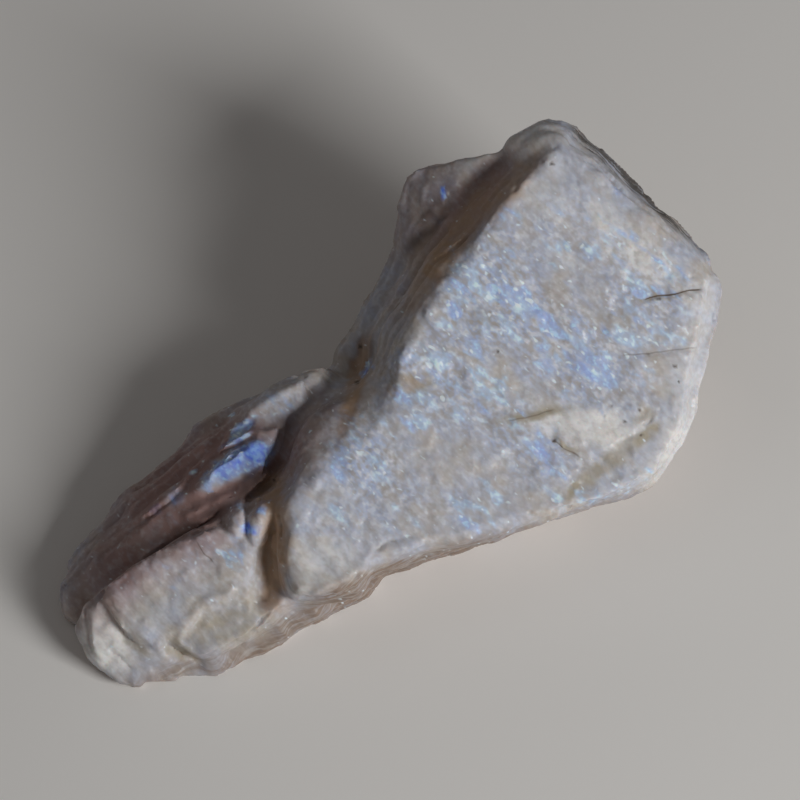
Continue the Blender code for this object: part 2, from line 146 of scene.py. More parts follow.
# Facets: share of the bumps that is taken off, slopes along x and y if the facet has its own, lift and
# outline. A facet fades in over a margin at its outline, and its level is read from its core.
FACET_MARGIN, FACET_CORE = 0.8, 0.9
FACETS = {
    "broad face": (0.85, (FACE_SLOPE_X, FACE_SLOPE_Y), 0.0, [
        (15.6, 25.4), (8.6, 17.4), (2.8, 8.4), (0.4, 4), (-3.4, -3.6), (-8.6, -9.2), (-10.6, -15),
        (-10.2, -18.9), (-6.6, -18.2), (-3.6, -16.2), (8, -12.4), (20, -10.2), (25.4, -7.8), (28.4, -2.8),
        (29.5, 5), (30.8, 12), (26, 17.6), (20.4, 22.8),
    ]),
    "tongue top": (0.6, None, 0.0, [
        (-29.4, -20), (-26, -17.4), (-20.6, -13.6), (-18.6, -13.2), (-16.6, -18.6), (-20, -20.2),
        (-22.4, -23), (-24, -25), (-27.6, -22.6),
    ]),
    "tongue rim": (0.9, (-0.08, 0.08), 0.2, [
        (-30, -20), (-28.2, -22.4), (-26.2, -25), (-23.6, -28.6), (-25.4, -29.2), (-27.2, -28.8),
        (-29.2, -27.4), (-30.8, -25.2), (-31, -22),
    ]),
    "tongue front": (0.7, (0.05, 0.1), 0.0, [
        (-21.8, -24), (-19.6, -21), (-15, -20.6), (-11.6, -20.4), (-12.6, -22.2), (-17, -25), (-20, -25.8),
    ]),
    "lobe chip": (0.95, (-0.3, 0.3), 0.2, [(-18.1, -5.2), (-17.6, -4.2), (-15, -2.9), (-14.7, -3.8)]),
    "upper lobe chip": (0.95, (-0.3, 0.3), 0.2, [
        (-17.5, -3.6), (-17, -2.7), (-15.3, -1.5), (-14.7, -2.4),
    ]),
    "lobe flash": (0.9, (-0.15, 0.15), 0.0, [
        (-20.8, -9.6), (-19.2, -7.2), (-17.4, -5.4), (-15, -4.4), (-13.4, -4.2), (-13.4, -5.8),
        (-15.2, -7.3), (-17.6, -8.8), (-19.6, -9.4),
    ]),
    "under the flash": (0.9, (0.36, -0.56), 0.5, [
        (-27.5, -14), (-25.6, -11.6), (-22.6, -9.7), (-21, -9.9), (-17.6, -9.1), (-15.2, -7.6),
        (-13.6, -6.3), (-13, -7.6), (-15.6, -10.2), (-18.6, -12.2), (-22, -13.6), (-25.8, -16),
    ]),
    "lobe light patch": (0.85, (0.0, 0.15), 0.6, [
        (-16, -1.2), (-13, 0.9), (-10, 1.9), (-9.2, -0.4), (-10.6, -2), (-13.6, -2.8),
    ]),
}

# Ledges: height, fade of the raised side, width of the drop, line. The raised side is on the line's left, and
# is sunk where the height is below 0. Each ledge comes up to its height over this length from its ends.
LEDGE_END = 1.5
LEDGES = {
    "bench inner rim": (0.07, 0.7, 0.3, [
        (7.2, 23.8), (6.2, 22.7), (4.8, 21.6), (4.2, 20.4), (2.6, 18.8), (1.4, 17.4), (1, 16), (0.2, 14.4),
    ]),
    "left lip": (0.2, 1.2, 0.4, [(0.2, 5.6), (-0.9, 4.4), (-0.9, 3.6), (0, 2.6), (1.8, 3.1), (3.8, 3.1)]),
    "plate top": (0.12, 3.0, 0.35, [(24.5, -0.4), (16.6, -1), (13.4, -1.5), (10.6, -2.2)]),
    "plate front": (0.15, 2.5, 0.6, [(15, -3.4), (17, -5.2), (18.2, -5.9), (21.5, -4.6), (25.2, -2)]),
    "corner block": (0.25, 2.5, 0.25, [(31.6, 11.2), (29, 10.8), (26.5, 10.3), (24.2, 10)]),
    "right step": (0.12, 3.5, 0.25, [(31, 5), (27.5, 4.6), (22.4, 4.2)]),
    "face brink": (0.15, 1.6, 0.35, [
        (-10.6, -19.6), (-6.6, -18.6), (-4.8, -17.8), (-3.6, -16.7), (-2.4, -15.6), (0, -15.2), (4, -14),
        (8, -13), (13, -11.9), (18, -10.6), (21, -9.8),
    ]),
    "tongue ridge": (0.15, 2.2, 0.35, [
        (-22.8, -23.2), (-20, -20.6), (-17, -19.8), (-13.8, -20.4), (-11.4, -19.8),
    ]),
    "lobe flash rim": (0.15, 1.2, 0.3, [(-20.8, -9.8), (-17.6, -8.8), (-15.2, -7.3), (-13.4, -5.8)]),
    "lobe high streak": (0.3, 1.2, 0.3, [(-18, -4.3), (-16.2, -3.1), (-14.4, -1.9)]),
    "lobe low scale": (0.35, 1.6, 0.35, [(-27, -14), (-23.6, -11.2), (-21.8, -10.2), (-20, -9.7)]),
    "lobe left scale": (-0.4, 1.8, 0.35, [
        (-30.6, -16.6), (-28, -13.6), (-25.4, -11), (-22.6, -8.6), (-20.6, -7.4),
    ]),
    "lobe upper scale": (-0.35, 1.6, 0.35, [(-24.4, -7.8), (-21.4, -5), (-19, -3.4), (-16.4, -2.2)]),
    "lobe hollow scale": (0.3, 1.4, 0.35, [(-24, -13), (-20.6, -11.4), (-17.6, -10), (-15.6, -9.4)]),
}

# Creases: depth, half-width and line. Each deepens from its ends along a ramp: how far up it starts, and the
# ramp's length.
CREASE_START, CREASE_END = 0.25, 1.2
CREASES = {
    "plate notch": (0.16, 0.25, [(15.2, -3.8), (16.2, -4.7), (17.8, -5.9)]),
    "tongue end groove": (0.22, 0.4, [
        (-29.7, -19.8), (-28.8, -21.2), (-27.5, -23.5), (-26, -24.5), (-23.5, -24.2),
    ]),
    "rim groove": (0.22, 0.35, [(-29.5, -24.5), (-28, -25.7), (-26.5, -27.2)]),
    "dark recess": (0.4, 0.4, [(-23.6, -24), (-21.5, -25.5), (-20, -26.2)]),
    "lump seam": (0.7, 0.5, [(-15, -9.8), (-15.3, -11.6), (-15.2, -13.4), (-14.6, -15.4)]),
    "left lump side": (0.5, 0.5, [(-18, -10.8), (-17.6, -12.6), (-16.6, -14), (-15.2, -14.4)]),
    "thumb valley": (1.2, 1.9, [
        (-12, -11.6), (-12.7, -13.6), (-13.3, -15.8), (-13.5, -18.2), (-13.2, -20.2),
    ]),
    "wall seam": (0.3, 0.6, [
        (-3.8, 6.5), (-3.6, 4.4), (-3.3, 3.4), (-4.3, 1.5), (-4.9, 0), (-5.5, -1.6), (-5.5, -3.2),
    ]),
    "brink crack": (0.2, 0.3, [(-2.6, -15.2), (-1.4, -14.2), (0.4, -13.8)]),
}

# Flakes of the broad face and scales of the lobe: seed, length, width, step between them and tilt.
FACE_FLAKES = ((1, 5.0, 1.8, 0.1, 0.06), (3, 2.4, 1.0, 0.08, 0.1))
LOBE_SCALES = ((6, 4.5, 1.5, 0.16, 0.16), (8, 1.8, 0.8, 0.05, 0.08))
SCALE_THICKNESS = 1.5
FLAKE_PASSES = 2
RAGGEDNESS, RAGGED_LENGTH = 0.4, 1.3
RIPPLE_HEIGHT, RIPPLE_LENGTHS = 0.05, (2.6, 0.9, 1.6)

# The lobe's scales lie above a line of the face, across its direction, and left of its start. Both fade in.
LOBE_ACROSS_X, LOBE_ACROSS_Y, LOBE_LINE, LOBE_LINE_FADE = -0.45, 0.9, 1.0, 3.0
LOBE_START, LOBE_START_FADE = -4.0, 4.0

# Thin layers on the sides: seed, length, thickness and depth. Each slants a little across its thickness.
SIDE_LAYERS = ((21, 9.0, 1.3, 0.22), (23, 5.0, 0.7, 0.12))
LAYER_SLANT = 0.6

# The share of the scales and layers that keeps its sharp edges.
SHARP_SHARE = 0.6

# Chips broken off where the surface bulges: depth, lengths of the noise, the bulge at which they are deepest,
# and how far the surface is smoothed to find its bulges.
CHIP_DEPTH, CHIP_LENGTHS = 0.45, (1.5, 0.7)
CHIPPED_BULGE, BULGE_PASSES = 0.12, 8

# Zones of colour: centre, half-length, half-width, angle in degrees, strength. Their edges wander.
ZONE_WANDER, WANDER_LENGTH, ZONE_LIMIT = 0.35, 1.1, 1.3
ZONES = {
    # Haze: where the milky stone carries tints, grains, painted sheen and painted glints, and keeps off the
    # smoky tone.
    "haze": [
        (8, 10, 8, 4, 60, 0.9), (17, 5, 8, 4.5, -35, 0.9), (24, 9, 4.5, 2.5, -40, 0.7),
        (13, -4, 5, 3, -40, 0.7), (3, 1, 6, 2.8, -30, 0.8), (-3.4, -4, 4.5, 3, -40, 0.6),
        (0, -11, 9, 2.4, 10, 0.35), (-22, -17, 3, 1.5, 30, 0.4), (-15.5, -12, 2.5, 2, 60, 0.6),
        (-12.4, -0.4, 2.6, 1.4, 25, 0.9), (25, 13, 5, 2.6, -42, 0.8), (-3.4, -7.2, 4.4, 2.6, -20, 0.6),
        (17.6, 16.8, 5, 3, -42, 0.45),
    ],
    # Painted blue sheen.
    "blue": [
        (11.1, 18, 1.2, 0.8, -45, 0.6), (9.4, 15, 1.2, 0.8, -45, 0.4), (10, 12, 1.6, 0.8, -40, 0.6),
        (10.6, 10, 2, 0.9, -42, 0.6), (-5, -8, 2.2, 1, -40, 0.35), (13.2, 9.4, 3.2, 0.8, -42, 0.75),
        (15.3, 7, 1.6, 0.7, -40, 0.6), (5.4, 9.1, 1, 0.8, -45, 0.9), (4.6, 11.2, 0.5, 0.5, 0, 0.6),
        (17.2, 11.6, 0.9, 0.6, -45, 0.5), (24, 10.9, 0.9, 0.6, -30, 0.5), (19.6, 2.9, 2.2, 1.3, -45, 0.85),
        (14.6, 2.8, 1.2, 0.9, -45, 0.4), (7.1, 5.4, 1.2, 0.8, -45, 0.4), (4, 6.6, 1.4, 0.7, -40, 0.45),
        (14.6, -5.4, 2.6, 1.1, -45, 0.65), (3, 2, 1.6, 0.7, -30, 0.35), (0.6, -1.6, 2.4, 0.9, -40, 0.4),
        (6.8, -12.4, 1.6, 0.6, -20, 0.45), (-4.4, -4.6, 1.6, 0.6, 10, 0.4),
        (-15.8, -6.1, 3.2, 1.3, 27, 1.6), (-18.8, -8, 1.6, 0.9, 40, 0.8), (-22.6, -9.7, 1.2, 1, 35, 0.4),
        (-15, -12.8, 0.8, 0.5, 0, 0.9), (-13.6, -10.8, 1, 0.6, 55, 0.5), (4.3, 20.9, 0.3, 0.5, -10, 1.3),
        (-3.4, 3, 0.9, 0.5, 45, 0.6), (-16.6, -15.6, 1.4, 0.8, -45, 0.3), (21.6, 21.4, 1, 0.6, -45, 0.3),
        (18.6, 14.6, 1, 0.6, -45, 0.5), (13.6, 15.4, 1.4, 0.6, -42, 0.45),
        (20.4, 16.6, 0.8, 0.5, -45, 0.35),
    ],
    # Painted cyan sheen.
    "cyan": [
        (6.8, 12.6, 1.4, 0.8, -40, 0.5), (8.5, 10.8, 2, 0.7, -42, 0.75), (12.1, 18.6, 0.9, 0.5, -45, 0.5),
        (19.2, 14.8, 1.2, 0.7, -40, 0.5), (13.9, 8.2, 1.4, 0.6, -45, 0.6), (23.4, 11.4, 1.4, 0.8, -25, 0.6),
        (22.4, 6.5, 2.8, 0.9, -18, 0.65), (26, 6.2, 1.4, 1.1, -40, 0.5), (24.4, 3.2, 1.2, 0.6, -45, 0.6),
        (20.6, 4.6, 0.6, 0.3, -45, 0.8), (15.6, 4.5, 0.6, 0.3, -45, 0.8), (2.8, 4.4, 1.8, 1.1, -30, 0.65),
        (9.2, 1.4, 2.8, 1.4, -42, 0.6), (7.4, -11.2, 2.4, 1.2, -40, 0.5), (19, -9.4, 3, 0.8, 18, 0.5),
        (7.6, 3.8, 1.4, 0.8, -40, 0.35), (1.7, -2.2, 1.2, 0.4, -40, 0.9), (4.4, -0.6, 2.6, 0.9, -30, 0.3),
        (-16.6, -4.1, 1.6, 0.45, 27, 1.3), (-15.9, -2.7, 1.4, 0.5, 32, 1.3), (-17, -1.4, 0.5, 0.2, 27, 1.1),
        (-20.9, -7.4, 0.7, 0.3, 35, 0.7), (-17.1, -15.9, 1.9, 0.5, -45, 1.4), (10, -9.6, 3, 0.9, -40, 0.45),
        (15, -9, 1.8, 0.7, -35, 0.35), (23.6, -8, 3, 0.7, 30, 0.5), (-3.2, 3.5, 0.25, 0.25, 0, 1.2),
        (4.4, 20.5, 0.2, 0.25, 0, 1.3), (-6.6, -11.5, 2.4, 0.8, -40, 0.25), (29, 6, 1, 0.6, -30, 0.6),
        (20.6, 18.4, 1.3, 0.7, -40, 0.5), (16.4, 15.6, 0.9, 0.5, -45, 0.6),
        (15.2, 13.4, 0.9, 0.5, -45, 0.7), (22.8, 16.4, 1.4, 0.5, -42, 0.4),
        (26.4, 13.4, 1.6, 0.5, -42, 0.4),
    ],
    # Pale creamy stone, and painted light on patches that face the light.
    "cream and painted light": [
        (-24, -19.4, 5, 2.6, 35, 0.3), (-15.6, -12.2, 2.6, 1.8, 70, 0.5), (-8.4, -5, 2.4, 1, 55, 0.5),
        (-2.5, 1.5, 1.5, 0.8, 60, 0.4), (20.4, 18.6, 1.8, 1.3, -40, 0.6), (16.4, 14.6, 1.6, 0.6, -45, 0.7),
        (25.4, 14, 3.6, 1.6, -42, 0.6), (15, 20, 3, 1.4, -40, 0.4), (22, 15.4, 4, 1.8, -42, 0.4),
        (-29.6, -24, 3.4, 2.2, -70, 1.1), (8.8, 10.4, 1.4, 0.7, -40, 0.4), (19, -2.6, 5.4, 1.9, -8, 0.85),
        (29, -0.4, 6, 2.4, 82, 0.45), (30.2, 9.6, 3, 1.4, 75, 0.3), (26.6, -5.4, 4, 1.6, 52, 0.5),
        (11, 26.2, 4, 2, 25, 0.6), (-7.4, -16, 3.4, 2.2, 20, 0.5), (-28.6, -22, 2.6, 0.7, -75, 0.5),
        (-12.6, -0.4, 2.8, 1.3, 25, 0.4), (1, 20.6, 4, 2, 55, 0.15), (15.6, 23.6, 1.8, 1, -60, 0.3),
    ],
    # Stains, and painted shade on the tongue's front and in the hollow under the left lip.
    "stain and painted shade": [
        (21.2, -6, 5, 0.9, 38, 0.85), (25, -3.2, 1.3, 0.5, 40, 0.8), (17.4, -8.6, 1.3, 0.4, 60, 0.8),
        (16.8, -4.9, 1.6, 0.35, -38, 1.1), (13, -1.6, 3.4, 0.5, 12, 1), (24.6, -1.6, 1.2, 0.7, 40, 0.7),
        (8.2, 8.4, 2.4, 1, -15, 0.4), (21.4, 8.4, 1.8, 0.8, -15, 0.6), (15.6, 7.4, 2.2, 0.5, -50, 0.5),
        (26.4, 10.4, 2.6, 0.3, 8, 0.8), (24.4, 9.9, 0.8, 0.35, 10, 0.9), (1.2, 1.6, 2.2, 1.1, 0, 0.8),
        (-22, -25.2, 2, 0.8, -35, 0.9), (-26.4, -24.6, 1.6, 0.4, -30, 0.5), (-16, -20, 3.4, 0.4, 8, 0.3),
        (-28.2, -21.8, 2.6, 0.4, -65, 0.4), (-16.6, -22.6, 5, 1.8, 20, 0.75), (6, 4.6, 2, 0.4, -20, 0.4),
        (14.2, 21.4, 1.4, 0.8, 0, 0.3), (-25.6, -20.6, 2.4, 1, 30, 0.25),
    ],
    # Painted warm golden-brown shade in the shadowed valleys and on the walls below the crest.
    "painted amber shade": [
        (-12.5, -15, 5.4, 1.4, 87, 1.1), (-13, -9, 2.6, 1.2, 55, 0.8), (-4.4, 2, 4.6, 0.9, 75, 0.8),
        (-3.6, 0.6, 4.6, 1, 58, 0.3), (5.2, 15.6, 8, 1.3, 57, 0.8), (3, 14.6, 2.6, 1.6, 60, 0.4),
        (11.4, 21.6, 4.4, 1.2, 52, 0.7), (0.4, 1.4, 2.2, 0.8, 20, 0.4), (-11.4, -20.4, 1.2, 0.8, 40, 0.3),
    ],
    # Smoky stone on the lobe and bench, darkened further with painted shade and warm reflected light.
    "smoke and painted shade": [
        (-19.6, -9.6, 12, 5.4, 38, 0.75), (-30, -18.6, 5, 3.6, 60, 0.5), (-8.4, -3.4, 5, 2.2, 50, 0.3),
        (-18, -9.8, 6, 1.5, 33, 0.5), (-22, -7, 9, 3, 38, 0.4), (-14.4, -7.6, 2.4, 1.2, 50, 0.6),
        (1.4, 20, 6, 3.2, 58, 0.4), (7.6, 20, 6, 2, 54, 0.8), (1.4, 12.4, 5, 1.8, 57, 0.2),
    ],
    # Painted shade in clefts, valleys and the shadowed band along the bench.
    "deep": [
        (3.4, 18.6, 4.5, 1, 57, 0.75), (7.6, 21.6, 3, 1, 55, 0.3), (-6.2, -0.4, 2.8, 0.7, 25, 0.5),
        (-8.2, 0.9, 1.4, 0.9, 40, 0.6), (-14.6, -8.2, 2.4, 1.2, 45, 0.8), (-12.9, -19.2, 2, 1.1, 80, 0.95),
        (-20, -12.4, 4, 0.6, 30, 0.5), (-5.2, -1.6, 3, 0.7, 70, 0.5), (-3.8, 4.2, 2.4, 1, 75, 0.8),
    ],
    # Painted deep blue sheen.
    "azure": [
        (-14.8, -5.6, 1.9, 1.3, 27, 1), (-17.4, -6.9, 1.6, 1, 30, 0.7), (-14.8, -12.8, 0.7, 0.5, 0, 0.9),
        (-13.8, -10.8, 0.7, 0.4, 55, 0.5), (4.3, 20.9, 0.3, 0.6, -10, 1.3), (5.4, 9.1, 0.7, 0.6, -45, 0.35),
        (14.8, -5.6, 1.4, 0.5, -45, 0.25), (14.4, 8.4, 1.4, 0.4, -42, 0.2), (19.4, 2.6, 1.6, 0.7, -45, 0.2),
        (-3.4, 3, 0.3, 0.2, 45, 0.6), (-22.4, -9.8, 0.8, 0.6, 35, 0.3), (-24.6, -11, 0.6, 0.4, 35, 0.35),
        (-16.4, -4, 1.5, 0.35, 27, 0.5), (-15.8, -2.7, 1.2, 0.4, 32, 0.5),
    ],
    # Painted shade on the strip that falls away at the upper right.
    "edge": [
        (24.9, 21.3, 9.6, 1.2, -43, 1.3), (18.6, 26.2, 1.8, 0.7, -30, 0.8), (31.4, 3, 9, 0.35, 84, 0.25),
    ],
    # Painted shade on the strips under the broad face.
    "under": [
        (-6, -21, 10, 2.2, 26, 1.1), (6, -15.8, 12, 1.6, 16, 1), (-21, -28, 9, 2.2, 14, 0.8),
        (20, -11.8, 6, 1.4, 22, 0.8),
    ],
}

# Thin dark cracks that run down through the stone: strength and line. They wander a little, the distance from
# them is marked as far as their reach, and their dark core fades out between the two distances of their edge.
CRACK_WANDER, CRACK_REACH, CRACK_EDGE = 0.15, 0.6, (0.03, 0.12)
CRACKS = [
    (0.9, [(24.3, 10), (25.2, 10.3), (26.2, 10.5), (28, 10.8), (30.5, 11.2)]),
    (0.4, [(22.2, 4.5), (25, 4.7), (28, 5.1), (30, 5.3)]),
    (0.4, [(10.6, -2.1), (13.2, -1.6), (15.6, -0.9)]),
    (0.5, [(15.2, -3.9), (16.4, -4.8), (18.2, -5.8)]),
    (0.5, [(-20.4, -13.9), (-19.6, -15.2), (-18.4, -16.4)]),
]

# Dark specks: x, y and radius.
SPECKS = [
    (15.3, 23.7, 0.18), (24.8, 4.5, 0.13), (27.6, 3.4, 0.13), (20.5, -1.5, 0.12), (21.2, -0.7, 0.12),
    (24, -1, 0.16), (24.2, -3.5, 0.16), (28, 1.9, 0.12), (15.4, -4.1, 0.2), (-4, 5.4, 0.2),
    (-4.3, 1.8, 0.2), (26, 10.2, 0.16), (9.8, 4.8, 0.12), (22.6, -2.2, 0.12), (-12.6, -8, 0.15),
]

# Patterns that are worked out for each vertex: lengths of their grains, and how far a hollow is smoothed out.
CLOUD_LENGTHS = (4.0, 2.0)
STREAKY_LENGTHS = {"rows": (5.0, 0.9, 3.0), "mottle": (1.6, 1.0, 1.4)}
HOLLOW_PASSES = 12

# The material's noises: angle, lengths of the grains in mm, shift, detail, roughness and distortion.
NOISES = {
    "blobs": (STREAK_ANGLE, (0.8, 0.56, 0.7), 0.0, 1.0, 0.5, 0.0),
    "crumb": (STREAK_ANGLE, (0.62, 0.46, 0.5), 7.0, 1.0, 0.5, 0.0),
    "dashes": (STREAK_ANGLE, (0.75, 0.48, 0.6), 23.0, 0.0, 0.5, 0.0),
    "streaks": (STREAK_ANGLE, (3.0, 0.4, 2.0), 0.0, 2.0, 0.5, 0.3),
    "hues": (STREAK_ANGLE, (3.0, 1.6, 2.0), 31.0, 1.0, 0.5, 0.0),
    "blue patches": (STREAK_ANGLE, (2.6, 1.3, 1.6), 11.0, 1.0, 0.5, 0.0),
    "cyan patches": (STREAK_ANGLE, (2.2, 1.1, 1.6), 17.0, 1.0, 0.5, 0.0),
    "layers": (0.0, (5.0, 5.0, 0.22), 29.0, 2.0, 0.6, 0.0),
}

# Zones that a noise or pattern breaks up: which one, the span of it that counts, and the zone's share at both
# ends of that span.
BROKEN_ZONES = {
    "cream and painted light": ("mottle", -0.5, 0.3, 0.7, 1.0),
    "stain and painted shade": ("mottle", -0.5, 0.3, 0.5, 1.0),
    "painted amber shade": ("mottle", -0.5, 0.3, 0.7, 1.0),
    "deep": ("mottle", -0.4, 0.5, 1.0, 0.7),
    "smoke and painted shade": ("blobs", 0.45, 0.7, 1.0, 0.75),
    "under": ("layers", 0.4, 0.65, 0.95, 0.5),
    "edge": ("layers", 0.45, 0.65, 1.0, 0.2),
    "azure": ("blue patches", 0.4, 0.6, 0.35, 1.0),
}

# The same for the colours that a noise or pattern brings in, and for the surface's roughness.
SHARES = {
    "lavender": ("clouds", -0.5, 0.4, 0.0, 1.0),
    "warm tint": ("hues", 0.48, 0.34, 0.0, 1.0),
    "cool tint": ("hues", 0.48, 0.62, 0.0, 1.0),
    "veil": ("rows", -0.5, 0.4, 0.8, 0.25),
    "lath": ("rows", 0.0, 0.6, 0.15, 0.45),
    "streaky lath": ("streaks", 0.44, 0.6, 0.3, 1.0),
    "dark grain": ("blobs", 0.52, 0.34, 0.0, 0.55),
    "light grain": ("blobs", 0.5, 0.68, 0.0, 0.65),
    "cream and painted light": ("blobs", 0.3, 0.5, 0.7, 1.0),
    "crumb": ("crumb", 0.46, 0.76, 0.0, 0.35),
    "blue rows": ("rows", -0.3, 0.3, 0.05, 0.45),
    "soft blue": ("crumb", 0.3, 0.56, 0.5, 0.95),
    "bright blue": ("crumb", 0.48, 0.74, 0.0, 0.95),
    "cyan rows": ("rows", -0.3, 0.3, 0.45, 0.05),
    "soft cyan": ("blobs", 0.3, 0.56, 0.5, 0.95),
    "bright cyan": ("blobs", 0.48, 0.74, 0.0, 0.95),
    "bright azure": ("crumb", 0.38, 0.64, 0.0, 1.0),
    "roughness": ("dashes", 0.5, 0.7, 0.65, 0.38),
}

# Spans of what is worked out from several patterns, and the shares at both of their ends.
HOLLOW_SPAN = (0.02, 0.3, 0.0, 0.5)
CREAM_AND_LIGHT_OFF_SIDES = (0.0, 0.5, 1.0, 0.0)
FLASH_SPAN, FLASH_EDGE = (0.61, 0.86, 0.0, 1.0), (0.0, 0.25, 0.1, 1.0)
PAINTED_GLINT_SPAN = (0.76, 0.93, 0.0, 0.95)

# How strong tints and grains are everywhere, and what haze adds. How strong are the painted blue veil, the
# stains and painted shade, and the painted warm shade of the sides. How far haze keeps off the smoky tone and
# painted shade and makes painted glints, and what strength adds to painted flashes and glints.
TINTS, TINTS_IN_HAZE = 0.3, 0.5
GRAINS, GRAINS_IN_HAZE = 0.5, 0.8
VEIL_IN_BLUE, STAINS_AND_SHADE, SHADED_SIDES = 0.5, 0.8, 0.8
HAZE_OVER_SMOKE_AND_SHADE, PAINTED_GLINTS_IN_HAZE = 0.6, 0.5
FLASH_GAIN, PAINTED_GLINT_GAIN = 0.33, 0.14

COLOURS = {
    "beige": (0.55, 0.515, 0.49),
    "lavender": (0.49, 0.515, 0.6),
    "warm tint": (0.56, 0.515, 0.46),
    "cool tint": (0.45, 0.51, 0.68),
    # Painted sheen: the blue veil and the pale laths.
    "veil": (0.42, 0.5, 0.71),
    "lath": (0.72, 0.75, 0.82),
    "dark grain": (0.42, 0.385, 0.36),
    "light grain": (0.7, 0.72, 0.78),
    # Pale creamy colour, also painted light.
    "cream and painted light": (0.82, 0.81, 0.8),
    "crumb": (0.43, 0.39, 0.36),
    # Stains, also painted shade in a few places.
    "stain and painted shade": (0.38, 0.325, 0.225),
    # Brown stains and painted shade in hollows.
    "hollow": (0.36, 0.28, 0.21),
    # Painted warm shade on the sides.
    "side": (0.42, 0.32, 0.275),
    # Smoky stone with painted shade and warm reflected light.
    "smoke and painted shade": (0.37, 0.235, 0.22),
    # Painted shade in clefts.
    "deep": (0.12, 0.075, 0.065),
    # Painted shade on the strips below the broad face.
    "under": (0.27, 0.205, 0.165),
    # Painted shade on the strip at the upper right.
    "edge": (0.11, 0.1, 0.095),
    # Painted warm golden-brown shade.
    "painted amber shade": (0.48, 0.335, 0.23),
    # Painted blue and cyan sheen.
    "soft blue": (0.41, 0.52, 0.81),
    "bright blue": (0.56, 0.77, 1.0),
    "soft cyan": (0.49, 0.62, 0.82),
    "bright cyan": (0.75, 0.92, 1.0),
    # Painted deep blue sheen.
    "deep azure": (0.15, 0.26, 0.9),
    "bright azure": (0.28, 0.49, 1.0),
    # Painted glints.
    "painted glint": (0.82, 0.92, 1.0),
    "crack": (0.14, 0.1, 0.07),
    "speck": (0.09, 0.065, 0.045),
}

# The stone's surface: its index of refraction, how milky it is, how deep red, green and blue light go into it
# in mm, and its fine bump, with the height in mm and what streaks and crumb add to the blobs in it.
FELDSPAR_IOR = 1.5
MILKINESS, MILKY_DEPTH = 0.4, (1.0, 0.62, 0.45)
BUMP_STRENGTH, BUMP_HEIGHT = 0.6, 0.1
BUMP_OF_STREAKS, BUMP_OF_CRUMB = 0.4, 0.2

# The studio, in metres and watts. Lights: direction in the face's frame, size, power and colour.
FLOOR_REACH, FLOOR_COLOUR, FLOOR_ROUGHNESS = 2.0, (0.9, 0.89, 0.875, 1.0), 0.9
STONE_MIDDLE = Vector((0.0, 0.0, 0.012))
LIGHT_DISTANCE = 0.6
LIGHTS = {
    "key": ((0.72, -0.23, 0.65), 0.24, 2.55, (1.0, 0.99, 0.97)),
    "fill": ((-0.55, 0.6, 0.58), 0.3, 0.12, (1.0, 0.94, 0.92)),
}
WORLD_COLOUR, WORLD_STRENGTH = (1.0, 0.96, 0.93, 1.0), 0.08

# The camera: its height over the origin of the face's frame, its sensor's width and its lens, all in mm, and
# the nearest and farthest that it sees, in metres.
CAMERA_HEIGHT = 700.0
CAMERA_SENSOR, CAMERA_LENS = 36.0, 315.0
CAMERA_CLIP_START, CAMERA_CLIP_END = 0.01, 10.0


def ramp(value):
    """0 below 0, 1 above 1 and a smooth rise between them."""
    value = np.clip(value, 0.0, 1.0)
    return value * value * (3.0 - 2.0 * value)


def random_numbers(cells, seed, count):
    """Repeatable numbers from -1 to 1 for whole-number cells, one column for each of count."""
    mixed = np.zeros(len(cells), dtype=np.uint32)
    for axis, mixer in enumerate(CELL_MIXERS):
        mixed ^= cells[:, axis].astype(np.int64).astype(np.uint32) * np.uint32(mixer)
    columns = []
    for column in range(count):
        value = mixed ^ np.uint32((seed * SEED_STEP + column) * SEED_MIXER % 2**32)
        for shift, mixer in BIT_MIXERS:
            value = (value ^ (value >> np.uint32(shift))) * np.uint32(mixer)
        value ^= value >> np.uint32(LAST_SHIFT)
        columns.append(value.astype(np.float64) / 2**31 - 1.0)
    return np.stack(columns, axis=1)


def smooth_noise(places, seed):
    """Gradient noise, about -1 to 1, that varies over a length of 1."""
    cell = np.floor(places)
    part = places - cell
    fade = part**3 * (part * (part * 6.0 - 15.0) + 10.0)
    total = np.zeros(len(places))
    for corner in itertools.product((0.0, 1.0), repeat=3):
        gradient = random_numbers(cell + corner, seed, 3)
        weight = np.prod(np.where(np.array(corner) > 0.5, fade, 1.0 - fade), axis=1)
        total += weight * np.sum(gradient * (part - corner), axis=1)
    return total * NOISE_GAIN


def layered_noise(places, lengths, seed):
    """Smooth noise of one length, with half as much of a shorter one over it."""
    coarse, fine = lengths
    return smooth_noise(places / coarse, seed) + 0.5 * smooth_noise(places / fine, seed + 1)


def wander(places, length, seed):
    """A way for each place to stray, about 1 long in each direction, that varies over a length."""
    return np.stack([smooth_noise(places / length, seed + axis) for axis in range(3)], axis=1)


def flakes(places, seed):
    """Flat flakes that fill space: each place's flake as random numbers, and the way from its middle."""
    cell = np.floor(places)
    nearest = np.full(len(places), np.inf)
    numbers = np.zeros((len(places), 3))
    offset = np.zeros((len(places), 3))
    for step in itertools.product((-1.0, 0.0, 1.0), repeat=3):
        neighbour = cell + step
        middle = neighbour + 0.5 + FLAKE_SHIFT * random_numbers(neighbour, seed, 3)
        away = places - middle
        distance = np.sum(away * away, axis=1)
        closer = distance < nearest
        nearest = np.where(closer, distance, nearest)
        numbers[closer] = random_numbers(neighbour[closer], seed + 1, 3)
        offset[closer] = away[closer]
    return numbers, offset


def turned(places, angle, lengths):
    """Places in a frame turned in the face by an angle, each axis divided by its length."""
    along = places[:, 0] * math.cos(angle) + places[:, 1] * math.sin(angle)
    across = -places[:, 0] * math.sin(angle) + places[:, 1] * math.cos(angle)
    return np.stack((along, across, places[:, 2]), axis=1) / np.array(lengths)


